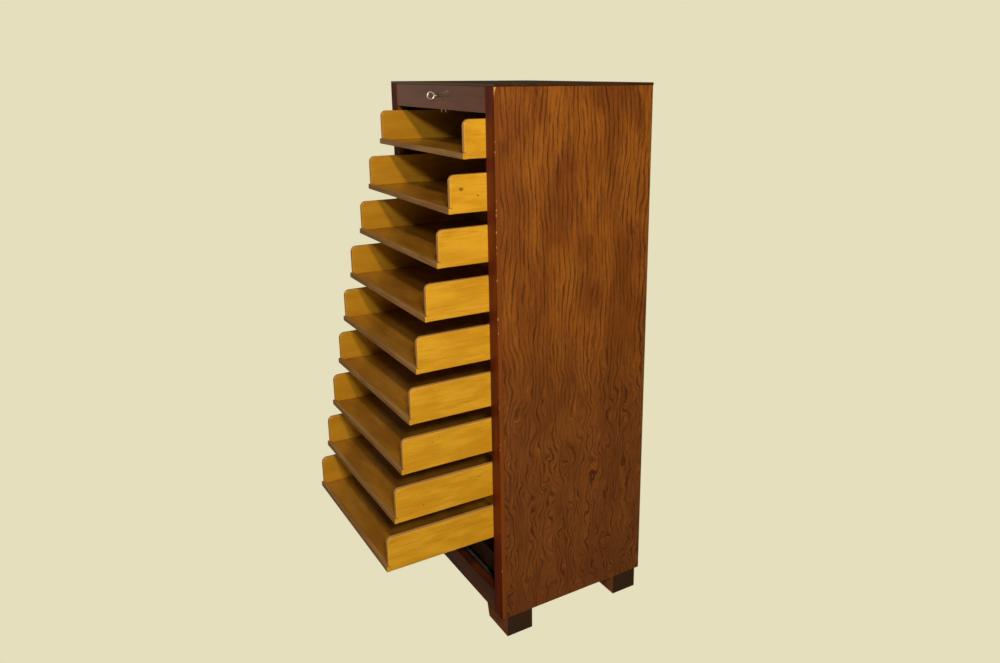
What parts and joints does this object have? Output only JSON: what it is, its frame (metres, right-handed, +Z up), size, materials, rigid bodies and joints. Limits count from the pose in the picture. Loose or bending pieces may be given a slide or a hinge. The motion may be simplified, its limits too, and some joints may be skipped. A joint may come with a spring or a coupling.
{
  "type": "roll-front filing cabinet",
  "caption": "Tall wooden roll-front filing cabinet on block feet, with open-front pull-out trays for A3 sheets, a roll-up slatted shutter and a key lock.",
  "frame": {"origin": "on the floor, under the middle of the carcass", "axes": "+Z up; the front with the trays faces -Y, +Y is the back; +X is the right side of someone who faces the cabinet's back wall from its front"},
  "size_m": [0.528, 0.653, 1.25],
  "materials": {
    "side_veneer": "stained and lacquered oak veneer",
    "top_veneer": "dark stained veneer",
    "front_frame": "dark stained hardwood, satin lacquer",
    "carcass_board": "raw plywood",
    "foot_block": "black-brown stained block",
    "screw_steel": "plain steel",
    "shutter_slat": "dark stained beech slats",
    "canvas": "unbleached canvas",
    "lock_steel": "pressed steel",
    "nickel": "nickel plated steel",
    "keyhole_brass": "aged brass",
    "tray_floor": "lacquered plywood",
    "tray_lip": "solid beech edging",
    "tray_board": "lacquered beech"
  },
  "bodies": {
    "cabinet": {"side_panel_left": "side_veneer", "side_panel_right": "side_veneer", "front_lipping_left": "front_frame", "front_lipping_right": "front_frame", "top_cover": "top_veneer", "top_board": "carcass_board", "top_rail": "front_frame", "bottom_rail": "front_frame", "bottom_cover": "carcass_board", "inner_sill": "front_frame", "bottom_shelf": "carcass_board", "false_back": "carcass_board", "back_panel": "carcass_board", "feet": "foot_block", "foot_screws": "screw_steel", "back_screws": "screw_steel", "shutter_slats": "shutter_slat", "shutter_canvas": "canvas", "lock_case": "lock_steel", "keyhole_insert": "keyhole_brass"},
    "tray_1": {"tray_1_floor": "tray_floor", "tray_1_lip": "tray_lip", "tray_1_sides": "tray_board", "tray_1_back": "tray_board"},
    "tray_2": {"tray_2_floor": "tray_floor", "tray_2_lip": "tray_lip", "tray_2_sides": "tray_board", "tray_2_back": "tray_board"},
    "tray_3": {"tray_3_floor": "tray_floor", "tray_3_lip": "tray_lip", "tray_3_sides": "tray_board", "tray_3_back": "tray_board"},
    "tray_4": {"tray_4_floor": "tray_floor", "tray_4_lip": "tray_lip", "tray_4_sides": "tray_board", "tray_4_back": "tray_board"},
    "tray_5": {"tray_5_floor": "tray_floor", "tray_5_lip": "tray_lip", "tray_5_sides": "tray_board", "tray_5_back": "tray_board"},
    "tray_6": {"tray_6_floor": "tray_floor", "tray_6_lip": "tray_lip", "tray_6_sides": "tray_board", "tray_6_back": "tray_board"},
    "tray_7": {"tray_7_floor": "tray_floor", "tray_7_lip": "tray_lip", "tray_7_sides": "tray_board", "tray_7_back": "tray_board"},
    "tray_8": {"tray_8_floor": "tray_floor", "tray_8_lip": "tray_lip", "tray_8_sides": "tray_board", "tray_8_back": "tray_board"},
    "tray_9": {"tray_9_floor": "tray_floor", "tray_9_lip": "tray_lip", "tray_9_sides": "tray_board", "tray_9_back": "tray_board"},
    "shutter": {"shutter_lead_bar": "front_frame"},
    "key": {"key": "nickel"},
    "lock_hook_left": {"lock_hook_left": "nickel"},
    "lock_hook_right": {"lock_hook_right": "nickel"}
  },
  "joints": [
    {"name": "tray_1_slide", "type": "slide", "parent": "cabinet", "child": "tray_1", "axis": [0, -1, 0], "range_m": [-0.089, 0.221]},
    {"name": "tray_2_slide", "type": "slide", "parent": "cabinet", "child": "tray_2", "axis": [0, -1, 0], "range_m": [-0.124, 0.186]},
    {"name": "tray_3_slide", "type": "slide", "parent": "cabinet", "child": "tray_3", "axis": [0, -1, 0], "range_m": [-0.153, 0.157]},
    {"name": "tray_4_slide", "type": "slide", "parent": "cabinet", "child": "tray_4", "axis": [0, -1, 0], "range_m": [-0.184, 0.126]},
    {"name": "tray_5_slide", "type": "slide", "parent": "cabinet", "child": "tray_5", "axis": [0, -1, 0], "range_m": [-0.208, 0.102]},
    {"name": "tray_6_slide", "type": "slide", "parent": "cabinet", "child": "tray_6", "axis": [0, -1, 0], "range_m": [-0.228, 0.082]},
    {"name": "tray_7_slide", "type": "slide", "parent": "cabinet", "child": "tray_7", "axis": [0, -1, 0], "range_m": [-0.25, 0.06]},
    {"name": "tray_8_slide", "type": "slide", "parent": "cabinet", "child": "tray_8", "axis": [0, -1, 0], "range_m": [-0.271, 0.039]},
    {"name": "tray_9_slide", "type": "slide", "parent": "cabinet", "child": "tray_9", "axis": [0, -1, 0], "range_m": [-0.294, 0.016]},
    {"name": "shutter_rise", "type": "slide", "parent": "cabinet", "child": "shutter", "axis": [0, 0, 1], "range_m": [0, 0.03]},
    {"name": "key_turn", "type": "hinge", "parent": "cabinet", "child": "key", "pos_m": [0.008, -0.1975, 1.222], "axis": [0, 1, 0], "range_deg": [0, 90]},
    {"name": "hook_left_slide", "type": "slide", "parent": "cabinet", "child": "lock_hook_left", "axis": [-1, 0, 0], "range_m": [0, 0.003]},
    {"name": "hook_right_slide", "type": "slide", "parent": "cabinet", "child": "lock_hook_right", "axis": [1, 0, 0], "range_m": [0, 0.003]}
  ],
  "couplings": [
    {"joint": "key_turn", "follows": "hook_left_slide", "rad_per_m": 523.55},
    {"joint": "hook_right_slide", "follows": "hook_left_slide", "ratio": 1}
  ]
}
